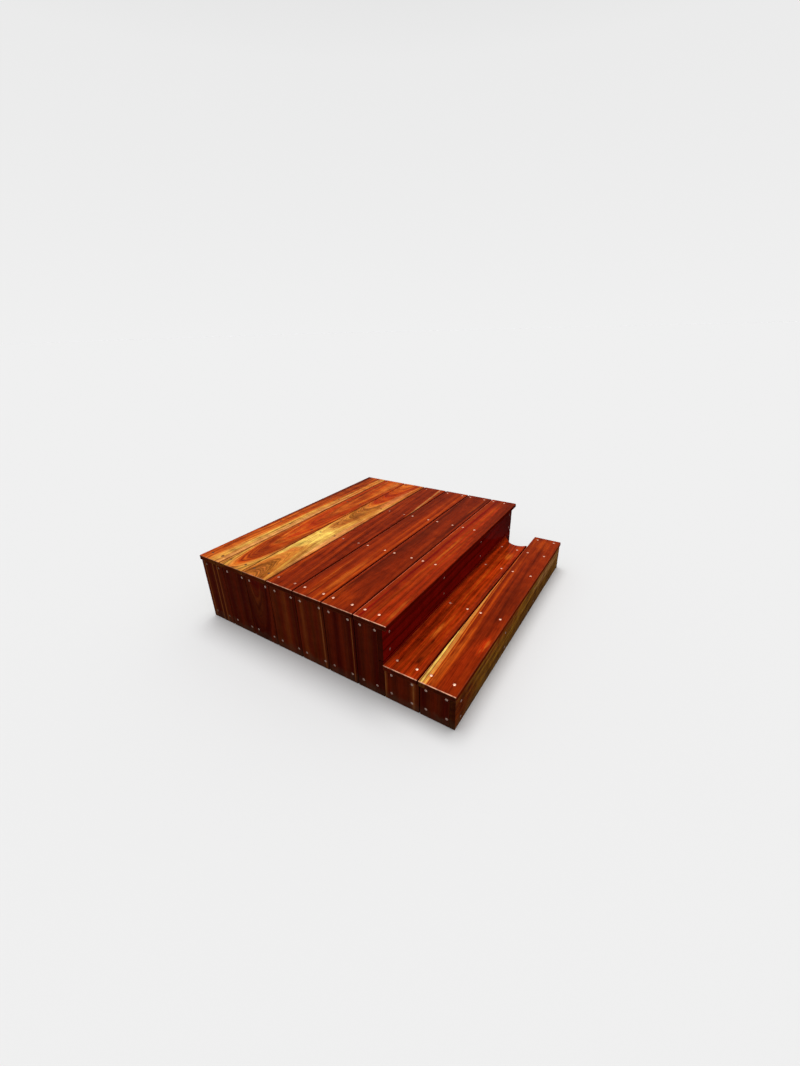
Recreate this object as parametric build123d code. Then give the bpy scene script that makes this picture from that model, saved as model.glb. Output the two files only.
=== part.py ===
from build123d import *
import os

# Outdoor timber stair of two levels: a low deck box below a house door, with one step in front of it.
# It stands in the corner of two walls. The door wall is at the back, the side wall at the right,
# and the left end is closed by upright cladding boards. One tread is cut round to let a downpipe by.
# X runs along the boards to the right, Y runs towards the door, Z runs up. The unit is the millimetre.
# The origin lies on the ground, in the middle of the footprint.

# Hardwood board stock, used for decking, treads, risers and cladding
board_width = 134.0
board_thickness = 19.0
board_arris = 3.0          # radius of the milled long edges
end_easing = 1.2           # edge sanded off a sawn end

# Softwood framing stock
joist_width = 45.0
joist_depth = 90.0
sleeper_width = 90.0
sleeper_height = 35.0
framing_arris = 4.0        # radius of the dressed long edges
plate_width = 45.0         # flat pieces under the step, of the sleepers' height

# Upper deck
deck_length = 1210.0       # from the free left end to the side wall
deck_rise = 165.0          # from the top of the treads to the top of the deck
back_board_width = 126.0   # ripped to fit at the door wall
full_board_count = 5
front_board_width = 130.0  # ripped on its hidden edge
deck_gap = 5.0             # drainage gap between deck boards
deck_nosing = 19.0         # deck front edge beyond the riser's face
riser_gap = 4.0            # between the upper and the lower riser
frame_lines = 4            # rows of joist, posts and sleeper, evenly spaced
wall_clearance = 4.0       # between the framing and the side wall

# Step
back_tread_width = 131.0   # ripped to fit at the riser
tread_gap = 4.0
tread_nosing = 3.0         # tread front edge beyond the step riser's face
short_joist_gap = 5.0      # from the front tread's back edge to the short joist

# Cladding of the left end
end_overhang = 5.0         # deck and tread ends beyond the cladding's face
cladding_gap = 3.0         # between upright boards
corner_gap = 1.0           # between the last upright board and a riser

# Round cut in the first tread for a downpipe that runs down to the ground
pipe_radius = 50.0
pipe_clearance = 8.0
pipe_from_side_wall = 86.0     # pipe centre to the side wall
pipe_from_riser = 84.0         # pipe centre to the upper riser's face
flare_angle = 35.0             # the straight stretch between the round cut and the riser, from X
notch_joist_setback = 26.5     # the joist's face before the deepest point of the cut

# Heights, from the ground up
step_joist_top = sleeper_height + joist_depth
tread_top = step_joist_top + board_thickness
deck_top = tread_top + deck_rise
deck_joist_top = deck_top - board_thickness
deck_joist_bottom = deck_joist_top - joist_depth
upper_riser_bottom = deck_joist_top - board_width
lower_riser_top = upper_riser_bottom - riser_gap

# Depths, from the door wall towards the front
deck_board_widths = [back_board_width] + [board_width] * full_board_count + [front_board_width]
deck_depth = sum(deck_board_widths) + deck_gap * (len(deck_board_widths) - 1)
riser_face = deck_depth - deck_nosing
riser_back = riser_face - board_thickness
back_tread_front = riser_face + back_tread_width
front_tread_back = back_tread_front + tread_gap
overall_depth = front_tread_back + board_width
step_riser_face = overall_depth - tread_nosing
step_riser_back = step_riser_face - board_thickness

# Places along the boards, from the free left end
cladding_face = end_overhang
frame_left = cladding_face + board_thickness
frame_right = deck_length - wall_clearance
first_line = frame_left + joist_width / 2
last_line = frame_right - joist_width / 2
line_pitch = (last_line - first_line) / (frame_lines - 1)
line_places = [first_line + i * line_pitch for i in range(frame_lines)]
notch_radius = pipe_radius + pipe_clearance
pipe_place = deck_length - pipe_from_side_wall
pipe_depth = riser_face + pipe_from_riser
notch_line = pipe_place - notch_radius - notch_joist_setback - joist_width / 2
short_joist_back = front_tread_back + short_joist_gap

SECTION_PLANES = {"X": Plane.YZ, "Y": Plane.XZ, "Z": Plane.XY}
GRAIN_AXES = {"X": Axis.X, "Y": Axis.Y, "Z": Axis.Z}

parts = {}


def east(distance):
    """Frame X of a place measured along the boards from the free left end."""
    return distance - deck_length / 2


def north(depth):
    """Frame Y of a place measured from the door wall towards the front."""
    return overall_depth / 2 - depth


def timber(across, depths, heights, grain, arris, easing=end_easing, ripped=None):
    """One length of stock with its grain along X, Y or Z.

    across is its span from the free left end, depths its span from the door wall and heights its
    span from the ground. Its section has milled round corners, except on a ripped side, given as
    the axis and the end of it where the saw left square edges. Both sawn ends are eased all round.
    """
    spans = {
        "X": (east(across[0]), east(across[1])),
        "Y": (north(depths[1]), north(depths[0])),
        "Z": heights,
    }
    size = {name: high - low for name, (low, high) in spans.items()}
    middle = {name: (high + low) / 2 for name, (low, high) in spans.items()}
    width, depth = [size[name] for name in "XYZ" if name != grain]
    section = SECTION_PLANES[grain] * Rectangle(width, depth)
    corners = section.vertices()
    if ripped:
        side_axis, side_end = ripped
        corners = corners.sort_by(GRAIN_AXES[side_axis], reverse=side_end == "high")[2:]
    section = fillet(corners, arris)
    stock = extrude(section, size[grain] / 2, both=True)
    if easing:
        stock = chamfer(stock.faces().filter_by(GRAIN_AXES[grain]).edges(), easing)
    return Pos(middle["X"], middle["Y"], middle["Z"]) * stock


def joist_span(place):
    """Span across a joist's or post's width at a frame line."""
    return (place - joist_width / 2, place + joist_width / 2)


def deck_boards():
    """Seven boards along X, with the sawn edges of the two ripped boards turned to the back."""
    depth = 0.0
    heights = (deck_joist_top, deck_top)
    for number, width in enumerate(deck_board_widths, start=1):
        ripped = ("Y", "high") if width != board_width else None
        span = (depth, depth + width)
        name = f"deck_board_{number}"
        parts[name] = timber((0, deck_length), span, heights, "X", board_arris, ripped=ripped)
        depth += width + deck_gap


def downpipe_cut():
    """Solid that clears the downpipe out of the first tread.

    The cut follows the pipe at its clearance, then leaves it on a tangent and runs off to the riser.
    """
    past = board_width
    centre = (east(pipe_place), north(pipe_depth))
    round_start = 90 + flare_angle
    swing = CenterArc(centre, notch_radius, round_start, 270 - round_start)
    flare = PolarLine(swing @ 0, past, flare_angle)
    beyond = east(deck_length) + past
    back = flare @ 1
    front = swing @ 1
    rim = Polyline((back.X, back.Y), (beyond, back.Y), (beyond, front.Y), (front.X, front.Y))
    outline = make_face([swing, flare, rim])
    return Pos(0, 0, step_joist_top - board_thickness) * extrude(outline, 3 * board_thickness)


def treads():
    """Two boards along X. The back one ends in the cut round the downpipe."""
    across = (0, deck_length)
    heights = (step_joist_top, tread_top)
    back_span = (riser_face, back_tread_front)
    front_span = (front_tread_back, overall_depth)
    back_tread = timber(across, back_span, heights, "X", board_arris, ripped=("Y", "high"))
    parts["tread_board_1"] = back_tread - downpipe_cut()
    parts["tread_board_2"] = timber(across, front_span, heights, "X", board_arris)


def risers():
    """Boards on edge along X that close the deck's front and the step's front."""
    across = (cladding_face, deck_length)
    deck_span = (riser_back, riser_face)
    step_span = (step_riser_back, step_riser_face)
    upper = (upper_riser_bottom, deck_joist_top)
    lower = (0, lower_riser_top)
    front = (0, step_joist_top)
    parts["upper_riser"] = timber(across, deck_span, upper, "X", board_arris)
    parts["lower_riser"] = timber(across, deck_span, lower, "X", board_arris)
    parts["step_riser"] = timber(across, step_span, front, "X", board_arris, ripped=("Z", "low"))


def cladding(prefix, start, end, top):
    """Upright boards side by side on the left end, the last one ripped to fit at a riser."""
    across = (cladding_face, frame_left)
    number = 0
    depth = start
    while depth < end:
        number += 1
        last = depth + board_width >= end
        edge = end if last else depth + board_width
        ripped = ("Y", "low") if last else None
        name = f"{prefix}_{number}"
        parts[name] = timber(across, (depth, edge), (0, top), "Z", board_arris, ripped=ripped)
        depth = edge + cladding_gap


def deck_frame():
    """Rows of joist, two posts and sleeper, tied at the back by a rim joist along the door wall."""
    joist_heights = (deck_joist_bottom, deck_joist_top)
    post_heights = (sleeper_height, deck_joist_bottom)
    rim_span = (0, joist_width)
    joist_depths = (joist_width, riser_back)
    back_depths = (0, joist_depth)
    front_depths = (riser_back - joist_depth, riser_back)
    rim_across = (frame_left, frame_right)
    parts["back_rim_joist"] = timber(rim_across, rim_span, joist_heights, "X", framing_arris)
    for number, place in enumerate(line_places, start=1):
        across = joist_span(place)
        left = min(max(place - sleeper_width / 2, frame_left), frame_right - sleeper_width)
        under = (left, left + sleeper_width)
        lying = (0, sleeper_height)
        parts[f"joist_{number}"] = timber(across, joist_depths, joist_heights, "Y", framing_arris)
        parts[f"back_post_{number}"] = timber(across, back_depths, post_heights, "Z", framing_arris)
        parts[f"front_post_{number}"] = timber(across, front_depths, post_heights, "Z", framing_arris)
        parts[f"sleeper_{number}"] = timber(under, (0, riser_back), lying, "Y", framing_arris)


def step_frame():
    """Two plates along X on the ground carry short joists along Y.

    The back plate and the fourth joist stop before the downpipe. The fifth joist carries only the
    front tread, beside the pipe.
    """
    lying = (0, sleeper_height)
    back_span = (riser_face, riser_face + plate_width)
    front_span = (step_riser_back - plate_width, step_riser_back)
    back_across = (frame_left, notch_line + joist_width / 2)
    front_across = (frame_left, frame_right)
    parts["step_plate_back"] = timber(back_across, back_span, lying, "X", framing_arris)
    parts["step_plate_front"] = timber(front_across, front_span, lying, "X", framing_arris)
    upright = (sleeper_height, step_joist_top)
    for number, place in enumerate(line_places[:-1] + [notch_line, line_places[-1]], start=1):
        back = short_joist_back if place == line_places[-1] else riser_face
        span = (back, step_riser_back)
        parts[f"step_joist_{number}"] = timber(joist_span(place), span, upright, "Y", framing_arris)


deck_boards()
treads()
risers()
cladding("side_board", 0.0, riser_back - corner_gap, deck_joist_top)
cladding("step_side_board", riser_face + corner_gap, step_riser_back - corner_gap, step_joist_top)
deck_frame()
step_frame()

os.makedirs("parts", exist_ok=True)
for name, shape in parts.items():
    export_step(shape, f"parts/{name}.step")
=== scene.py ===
"""Oiled hardwood deck stairs: a low deck box with one step along its front.

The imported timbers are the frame. Every hardwood board is modelled again over its own timber, with
milled arrises, eased ends and countersunk screw holes, and gets its own figure from a growth-ring
model of the log that it was sawn from. The softwood framing keeps its solids.
"""
import logging
import math
import random
from collections.abc import Callable, Iterable, Iterator
from contextlib import contextmanager
from dataclasses import dataclass, field
from enum import Enum

import bmesh
import bpy
from mathutils import Matrix, Vector


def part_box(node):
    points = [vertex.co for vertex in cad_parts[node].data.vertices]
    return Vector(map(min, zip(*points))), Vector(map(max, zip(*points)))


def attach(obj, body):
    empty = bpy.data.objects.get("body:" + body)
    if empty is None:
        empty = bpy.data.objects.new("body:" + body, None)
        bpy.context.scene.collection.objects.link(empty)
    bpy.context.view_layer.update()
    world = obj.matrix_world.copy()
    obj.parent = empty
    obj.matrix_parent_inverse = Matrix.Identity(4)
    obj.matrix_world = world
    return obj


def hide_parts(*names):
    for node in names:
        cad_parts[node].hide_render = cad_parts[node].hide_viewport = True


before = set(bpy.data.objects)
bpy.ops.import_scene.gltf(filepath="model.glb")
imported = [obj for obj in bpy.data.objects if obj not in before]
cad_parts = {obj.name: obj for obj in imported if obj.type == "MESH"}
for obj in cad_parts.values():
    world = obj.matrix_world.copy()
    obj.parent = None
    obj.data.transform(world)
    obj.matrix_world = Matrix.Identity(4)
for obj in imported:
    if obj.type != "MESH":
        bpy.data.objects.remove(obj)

log = logging.getLogger("deck_stairs")

Piece = bpy.types.Object
Edge = bmesh.types.BMEdge
Colour = tuple[float, float, float, float]
Span = tuple[float, float]
Pairs = tuple[Span, ...]
Triple = tuple[float, float, float]

MM = 0.001
# Cosine from which two directions count as one, and how near two places count as one
PARALLEL = 0.99
NEAR = 1e-5
# Edges of a board or a screw sharper than this many degrees stay sharp
CREASE = 35
SOIL: Colour = (0.10, 0.075, 0.045, 1.0)
SPLASH_HEIGHT = 50 * MM


class Face(Enum):
    """The side of a board that shows: where it looks, its grain's axis and the axis across."""

    TOP = ((0.0, 0.0, 1.0), 0, 1)
    FRONT = ((0.0, -1.0, 0.0), 0, 2)
    LEFT = ((-1.0, 0.0, 0.0), 2, 1)

    def __init__(self, normal: Triple, grain: int, across: int) -> None:
        """Hold the outward direction, and the indices of the axes along and across the grain."""
        self.normal, self.grain, self.across = Vector(normal), grain, across


class Sawn(Enum):
    """Long side of a board that was ripped to fit, and so kept its square edges."""

    NONE = (0, 0)
    BACK = (1, 1)
    FRONT = (1, -1)
    BOTTOM = (2, -1)


class Tone(Enum):
    """Colours of the oiled timber, from the dark heart out to the pale sapwood, as seen (sRGB)."""

    PITCH = (44, 8, 4)
    MAROON = (80, 14, 4)
    WINE = (136, 17, 8)
    GARNET = (104, 13, 6)
    SEPIA = (92, 28, 8)
    EARTH = (108, 30, 8)
    RUSSET = (122, 50, 17)
    DUN = (158, 90, 44)
    DARK = (98, 26, 5)
    CLARET = (120, 33, 6)
    RED = (140, 40, 7)
    BRICK = (156, 49, 8)
    SCARLET = (170, 47, 9)
    RUST = (178, 64, 11)
    ORANGE = (202, 96, 28)
    AMBER = (214, 118, 46)
    HONEY = (216, 138, 58)
    GOLD = (212, 152, 66)
    STRAW = (240, 192, 92)
    TAN = (180, 116, 50)
    BARK = (150, 84, 32)
    SAND = (182, 122, 72)
    OLIVE = (134, 82, 22)
    KHAKI = (156, 96, 28)
    UMBER = (100, 36, 9)
    PEACH = (228, 152, 84)
    CORAL = (214, 118, 64)
    NUT = (190, 108, 38)
    BRONZE = (166, 92, 25)
    COCOA = (130, 70, 20)
    EMBER = (188, 76, 16)
    MOSS = (184, 164, 74)
    VERMILION = (198, 53, 10)

    @property
    def light(self) -> Colour:
        """The colour as light, on a linear scale."""
        seen = (part / 255 for part in self.value)
        return (*(s / 12.92 if s <= 0.04045 else ((s + 0.055) / 1.055) ** 2.4 for s in seen), 1.0)


# Modelling by hand


def deselect() -> None:
    """Leave nothing selected."""
    bpy.ops.object.select_all(action="DESELECT")
    bpy.context.view_layer.objects.active = None


def take_up(piece: Piece) -> None:
    """Select one piece alone and make it active.

    Args:
        piece: The object.
    """
    deselect()
    piece.select_set(True)
    bpy.context.view_layer.objects.active = piece


def newly_made() -> Piece:
    """Settle the primitive just added.

    Returns:
        It, with its place and size in its mesh.
    """
    piece = bpy.context.active_object
    settle(piece)
    return piece


@contextmanager
def editing(piece: Piece, mode: str = "EDGE") -> Iterator[bmesh.types.BMesh]:
    """Open a piece in edit mode with nothing selected, and close it again.

    Args:
        piece: The mesh object.
        mode: What is selected: VERT, EDGE or FACE.

    Returns:
        The mesh under edit.
    """
    take_up(piece)
    bpy.ops.object.mode_set(mode="EDIT")
    bpy.ops.mesh.select_mode(type=mode)
    bpy.ops.mesh.select_all(action="DESELECT")
    try:
        yield bmesh.from_edit_mesh(piece.data)
    finally:
        bpy.ops.object.mode_set(mode="OBJECT")


def pick(piece: Piece, parts: Iterable[object], wanted: Callable[[object], bool]) -> int:
    """Select the vertices, edges or faces that pass a test, and no others.

    Args:
        piece: The object in edit mode.
        parts: All the vertices, edges or faces of its mesh.
        wanted: The test.

    Returns:
        How many were picked.
    """
    picked = [bool(wanted(part)) for part in parts]
    for part, is_picked in zip(parts, picked):
        part.select_set(is_picked)
    bmesh.update_edit_mesh(piece.data)
    return sum(picked)


def round_over(piece: Piece, wanted: Callable[[Edge], bool], width: float, steps: int) -> int:
    """Bevel the edges that pass a test.

    Args:
        piece: The mesh object.
        wanted: The test.
        width: Width of the bevel.
        steps: Its facets, 1 for a flat one.

    Returns:
        How many edges were bevelled.
    """
    with editing(piece) as mesh:
        count = pick(piece, mesh.edges, wanted)
        bpy.ops.mesh.bevel(offset=width, segments=steps, profile=0.5, affect="EDGES")
    return count


def apply_all(piece: Piece) -> None:
    """Apply every modifier of a piece.

    Args:
        piece: The mesh object.
    """
    take_up(piece)
    for modifier in list(piece.modifiers):
        bpy.ops.object.modifier_apply(modifier=modifier.name)


def settle(piece: Piece) -> None:
    """Put a piece's place into its mesh, so that the object stays at the origin."""
    take_up(piece)
    bpy.ops.object.transform_apply(location=True, rotation=True, scale=True)


def cut_away(piece: Piece, cutter: Piece) -> None:
    """Take one shape out of a piece and throw the cutter away.

    Args:
        piece: What is cut.
        cutter: A closed mesh.
    """
    cut = piece.modifiers.new("cut", "BOOLEAN")
    cut.operation, cut.solver, cut.object = "DIFFERENCE", "EXACT", cutter
    apply_all(piece)
    bpy.data.objects.remove(cutter, do_unlink=True)


def join_all(pieces: list[Piece], name: str) -> Piece:
    """Join pieces into one, settled at the origin.

    Args:
        pieces: At least one mesh object.
        name: The new name.

    Returns:
        The joined piece.
    """
    take_up(pieces[0])
    for piece in pieces:
        piece.select_set(True)
    if len(pieces) > 1:
        bpy.ops.object.join()
    joined = newly_made()
    joined.name = joined.data.name = name
    return joined


def face_smoothly(piece: Piece) -> None:
    """Shade rounded edges smooth while flat faces stay flat.

    Args:
        piece: The mesh object.
    """
    take_up(piece)
    bpy.ops.object.shade_smooth_by_angle(angle=math.radians(CREASE))
    weigh = piece.modifiers.new("flat faces first", "WEIGHTED_NORMAL")
    weigh.keep_sharp, weigh.weight = True, 100
    apply_all(piece)


# Shader graphs


class Signal:
    """What a node gives out. Arithmetic on it adds the nodes that do the sum."""

    def __init__(self, graph: "Graph", socket: bpy.types.NodeSocket) -> None:
        """Hold a socket and the graph that it belongs to."""
        self.graph = graph
        self.socket = socket

    def __add__(self, other: object) -> "Signal":
        """Sum of two signals, or of a signal and a constant."""
        return self.graph.maths("ADD", self, other)

    def __sub__(self, other: object) -> "Signal":
        """Difference."""
        return self.graph.maths("SUBTRACT", self, other)

    def __rsub__(self, other: float) -> "Signal":
        """Difference from a number."""
        return self.graph.maths("SUBTRACT", other, self)

    def __mul__(self, other: object) -> "Signal":
        """Product. A colour is tinted."""
        return self.graph.maths("MULTIPLY", self, other)

    def __truediv__(self, other: object) -> "Signal":
        """Quotient."""
        return self.graph.maths("DIVIDE", self, other)

    def __abs__(self) -> "Signal":
        """Size without sign."""
        return self.graph.maths("ABSOLUTE", self)

    def noise(self, detail: float = 2.0, roughness: float = 0.5, scale: float = 1.0) -> "Signal":
        """Noise at this place, 0 to 1 with a middle of about a half."""
        return self.graph.add(
            "TexNoise", Vector=self, Scale=scale, Detail=detail, Roughness=roughness
        )["Fac"]

    def remap(
        self, low: object, high: object, to: Span = (0.0, 1.0), smooth: bool = True
    ) -> "Signal":
        """Map a range of this signal onto another, evenly or with soft ends."""
        kind = "SMOOTHSTEP" if smooth else "LINEAR"
        return self.graph.add("MapRange", self, low, high, *to, interpolation_type=kind)["Result"]

    def fade(self, low: object, high: object) -> "Signal":
        """Mask that is full below a range and gone above it."""
        return self.remap(low, high, (1.0, 0.0))

    def parts(self) -> list["Signal"]:
        """The three parts of a vector."""
        return list(self.graph.add("SeparateXYZ", self).values())


class Graph:
    """A node tree under construction."""

    def __init__(self, tree: bpy.types.NodeTree) -> None:
        """Start with an empty tree."""
        self.tree = tree
        self.tree.nodes.clear()

    def feed(self, socket: bpy.types.NodeSocket, term: object) -> None:
        """Give an input its value.

        Args:
            socket: The input.
            term: A constant, or a signal to link it to.
        """
        if isinstance(term, Signal):
            self.tree.links.new(term.socket, socket)
        else:
            socket.default_value = term

    def make(self, kind: str, *terms: object, **others: object) -> bpy.types.Node:
        """Add a node.

        Args:
            kind: Blender's name for it, without the prefix that shader nodes have.
            *terms: What its inputs get, in their order: constants or signals.
            **others: Settings of the node, and inputs by name where that starts with a capital,
                with _ for a space.

        Returns:
            The node.
        """
        node = self.tree.nodes.new(kind if kind.startswith("Node") else f"ShaderNode{kind}")
        for name, value in others.items():
            if name[0].isupper():
                self.feed(node.inputs[name.replace("_", " ")], value)
            else:
                setattr(node, name, value)
        for socket, term in zip(node.inputs, terms):
            self.feed(socket, term)
        return node

    def add(self, kind: str, *terms: object, **others: object) -> dict[str, Signal]:
        """Add a node as make does, and return its outputs by name."""
        node = self.make(kind, *terms, **others)
        return {output.name: Signal(self, output) for output in node.outputs if output.name}

    def group(self, name: str, **inputs: object) -> dict[str, Signal]:
        """Put one of the shelf's groups in, and return its outputs by name."""
        return self.add("Group", node_tree=bpy.data.node_groups[name], **inputs)

    def maths(self, operation: str, *terms: object, clamp: bool = False) -> Signal:
        """Do a sum with numbers, vectors or colours, whichever its first signal is.

        Args:
            operation: Blender's name for it.
            *terms: Constants or signals.
            clamp: Whether a number is held to 0 to 1.

        Returns:
            The result.
        """
        kind = next(term.socket.type for term in terms if isinstance(term, Signal))
        if kind == "RGBA":
            return self.mix(1.0, *terms, operation)
        if kind == "VECTOR":
            made = self.add("VectorMath", *terms, operation=operation)
            return made["Value" if operation == "LENGTH" else "Vector"]
        return self.add("Math", *terms, operation=operation, use_clamp=clamp)["Value"]

    def mix(self, share: object, first: object, second: object, blend: str = "MIX") -> Signal:
        """Mix two colours.

        Args:
            share: How much of the second shows.
            first: Colour or signal.
            second: Colour or signal.
            blend: Blend type.

        Returns:
            The mixed colour.
        """
        node = self.make("Mix", share, data_type="RGBA", blend_type=blend)
        self.feed(node.inputs[6], first)
        self.feed(node.inputs[7], second)
        return Signal(self, node.outputs[2])

    def whole(self, *terms: object) -> Signal:
        """Make a vector from three parts."""
        return self.add("CombineXYZ", *terms)["Vector"]

    def ramp(
        self, share: Signal, stops: list[tuple[float, Colour]], easing: str = "LINEAR"
    ) -> Signal:
        """Colours that follow one another.

        Args:
            share: Where on the ramp.
            stops: Places from 0 to 1, with the colour at each.
            easing: How one colour goes over into the next.

        Returns:
            The colour.
        """
        node = self.make("ValToRGB", share)
        band = node.color_ramp
        band.interpolation = easing
        band.elements.remove(band.elements[1])
        for number, (position, colour) in enumerate(stops):
            stop = band.elements.new(position) if number else band.elements[0]
            stop.position, stop.color = position, colour
        return Signal(self, node.outputs["Color"])


class MaterialGraph(Graph):
    """The graph of one material."""

    def __init__(self, name: str) -> None:
        """Start a material of this name."""
        self.material = bpy.data.materials.new(name)
        self.material.use_nodes = True
        super().__init__(self.material.node_tree)

    def place(self) -> Signal:
        """The object's own coordinates."""
        return self.add("TexCoord")["Object"]

    def close(
        self, bump: tuple[float, float, Signal] | None = None, **inputs: object
    ) -> bpy.types.Material:
        """End with a Principled shader.

        Args:
            bump: Strength, distance and height of its bump.
            **inputs: Its inputs, with _ for a space.

        Returns:
            The material.
        """
        if bump:
            strength, distance, height = bump
            inputs["Normal"] = self.add(
                "Bump", Strength=strength, Distance=distance, Height=height
            )["Normal"]
        self.make("OutputMaterial", Surface=self.add("BsdfPrincipled", **inputs)["BSDF"])
        return self.material


INPUT_KINDS = {
    "Vector": "Vector", "Half Size": "Vector", "Centre": "Vector", "Radii": "Vector",
    "Ring Colour": "Color",
}


@dataclass(frozen=True)
class ShaderShelf:
    """The node groups that more than one finish uses, each built once.

    A board's own coordinates run along the grain, across the face and out of it. The grains are
    how often a noise comes round per metre along, across and out. The curl's is on the ripple's,
    and the streaks' is by the distance from the pith, along and across.
    """

    sway_grain: Triple = (2.6, 7.0, 7.0)
    ripple_grain: Triple = (11.0, 42.0, 42.0)
    curl_grain: Triple = (2.6, 2.4, 2.4)
    ripple: float = 0.34
    curl: float = 0.13
    streak_grain: Triple = (105.0, 2.6, 6.0)
    fibre_grain: Triple = (11.0, 300.0, 300.0)
    mottle_grain: Triple = (26.0, 14.0, 14.0)
    pore_grain: Triple = (38.0, 1150.0, 1150.0)
    patch_grain: Triple = (22.0, 120.0, 120.0)
    line_uneven: float = 2.2
    line_sharpness: float = 5.0
    paler_tint: Colour = (1.62, 2.10, 2.00, 1.0)
    deeper_tint: Colour = (0.30, 0.20, 0.18, 1.0)
    line_tint: Colour = (0.30, 0.19, 0.16, 1.0)
    splash_ragged: float = 90 * MM
    end_soak: Span = (0.4 * MM, 2.2 * MM)
    # Reach of the painted highlight and the painted shade at the gaps between boards
    seam_light: Span = (1.6 * MM, 3.4 * MM)
    seam_deep: Span = (1.8 * MM, 3.6 * MM)
    seam_top: Span = (-2.4 * MM, -1.0 * MM)

    def start(self, name: str, *inputs: str) -> tuple[Graph | Signal, ...]:
        """Start a group.

        Args:
            name: The group's name.
            *inputs: Names of its inputs, which are numbers where INPUT_KINDS doesn't say otherwise.

        Returns:
            The graph, and each input as a signal.
        """
        tree = bpy.data.node_groups.new(name, "ShaderNodeTree")
        for label in inputs:
            kind = INPUT_KINDS.get(label, "Float")
            tree.interface.new_socket(label, in_out="INPUT", socket_type=f"NodeSocket{kind}")
        graph = Graph(tree)
        return graph, *graph.add("NodeGroupInput").values()

    def end(self, graph: Graph, **outputs: Signal) -> None:
        """Close a group.

        Args:
            graph: The group's graph.
            **outputs: Its outputs by name.
        """
        kinds = {"VALUE": "Float", "RGBA": "Color"}
        for label, signal in outputs.items():
            graph.tree.interface.new_socket(
                label, in_out="OUTPUT", socket_type=f"NodeSocket{kinds[signal.socket.type]}"
            )
        graph.make("NodeGroupOutput", *outputs.values())

    def build(self) -> None:
        """Build every group."""
        for group in (
            self.growth_rings, self.fibre, self.timber_colour, self.arris_wear, self.ground_splash,
            self.end_grain, self.gleam, self.seam, self.patch,
        ):
            group()

    def growth_rings(self) -> None:
        """Distance from the pith of a log that isn't quite straight.

        The pith lies under the face, may drift sideways and may come nearer or go deeper along the
        board, which gives straight stripes, flames or long ovals on the face, and arcs on its ends.
        """
        graph, place, pith, drift, depth, fall, bow, waviness, seed = self.start(
            "growth rings", "Vector", "Pith Across", "Drift Across", "Pith Below", "Drift Below",
            "Bow", "Waviness", "Seed",
        )
        along, across, out = place.parts()
        shift = seed * 7.31
        slow, quick = (
            graph.whole(along * first + shift, across * second + shift, out * third)
            for first, second, third in (self.sway_grain, self.ripple_grain)
        )
        sway, ripple = slow.noise(1.5) - 0.5, quick.noise() - 0.5
        curl = (quick * self.curl_grain).noise(1.0) - 0.5
        wave = (sway + ripple * self.ripple + curl * self.curl) * waviness * 4.0
        side = across - (drift * along + pith)
        deep = out + ((bow * along + fall) * along + depth)
        self.end(graph, Radius=graph.maths("LENGTH", graph.whole(side, deep, 0.0)) + wave)

    def fibre(self) -> None:
        """Streaks that follow the rings, fine fibre and open pores, dots on an end."""
        graph, place, radius, seed = self.start("fibre", "Vector", "Radius", "Seed")
        shift = seed * 3.17
        seeded = place + graph.whole(shift, shift, 0.0)
        along, across, _ = seeded.parts()
        first, second, third = self.streak_grain
        ringed = graph.whole(radius * first + shift, along * second, across * third)
        fine = (seeded * self.fibre_grain).noise(2.0, 0.7)
        mottle = (seeded * self.mottle_grain).noise(4.0, 0.6)
        self.end(
            graph, Streak=ringed.noise(4.0, 0.74).remap(0.34, 0.66, smooth=False),
            Fine=fine.remap(0.32, 0.68, smooth=False),
            Pore=(seeded * self.pore_grain).noise(0.0).remap(0.60, 0.72),
            Mottle=mottle.remap(0.32, 0.68, smooth=False),
        )

    def timber_colour(self) -> None:
        """Lay growth lines, streaks, mottle and pores over the colour of the rings."""
        graph, ring, radius, streak, fine, pore, mottle, spacing, depth, swing, pitting, polish = (
            self.start(
                "timber colour", "Ring Colour", "Radius", "Streak", "Fine", "Pore", "Mottle",
                "Line Spacing", "Line Strength", "Streak Strength", "Pore Strength", "Polish",
            )
        )
        count = radius / spacing
        uneven = graph.whole(count, 0.0, 0.0).noise(scale=0.37)
        phase = graph.maths("FRACT", uneven * self.line_uneven + count)
        line = graph.maths("POWER", phase, self.line_sharpness) * phase.fade(0.93, 1.0)
        line = line * uneven.remap(0.3, 0.6, (0.4, 1.0))

        fine, mottle = fine - 0.5, mottle - 0.5
        swing = (streak - 0.5 + fine * 0.6 + mottle * 0.45) * swing
        paler = graph.maths("MAXIMUM", swing, 0.0)
        deeper = graph.maths("MAXIMUM", swing * -1.0, 0.0)
        colour = graph.mix(paler, ring, ring * self.paler_tint)
        colour = graph.mix(deeper, colour, ring * self.deeper_tint)
        lined = colour * self.line_tint
        pitted = pore * pitting
        colour = graph.mix(pitted, graph.mix(line * depth, colour, lined), lined)

        rough = polish + fine * 0.12 + mottle * 0.14
        self.end(
            graph, Color=colour,
            Roughness=graph.maths("ADD", pitted * 0.3, rough, clamp=True),
            Height=fine * 0.25 + 0.6 + line * -0.12 + pore * -0.5,
        )

    def arris_wear(self) -> None:
        """Mask of a box's edges, where oil and edges wear first, and where the hardwood's arrises
        get a painted highlight.
        """
        graph, place, half, reach, patchy = self.start(
            "arris wear", "Vector", "Half Size", "Reach", "Patchy"
        )
        first, second, third = (half - abs(place)).parts()
        high = graph.maths("MINIMUM", graph.maths("MAXIMUM", first, second), third)
        middle = graph.maths("MAXIMUM", graph.maths("MINIMUM", first, second), high)
        cloud = place.noise(3.0, scale=60.0).remap(0.35, 0.65)
        self.end(graph, Mask=middle.fade(0.0, reach) * (cloud * patchy + 1.0 - patchy))

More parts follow.
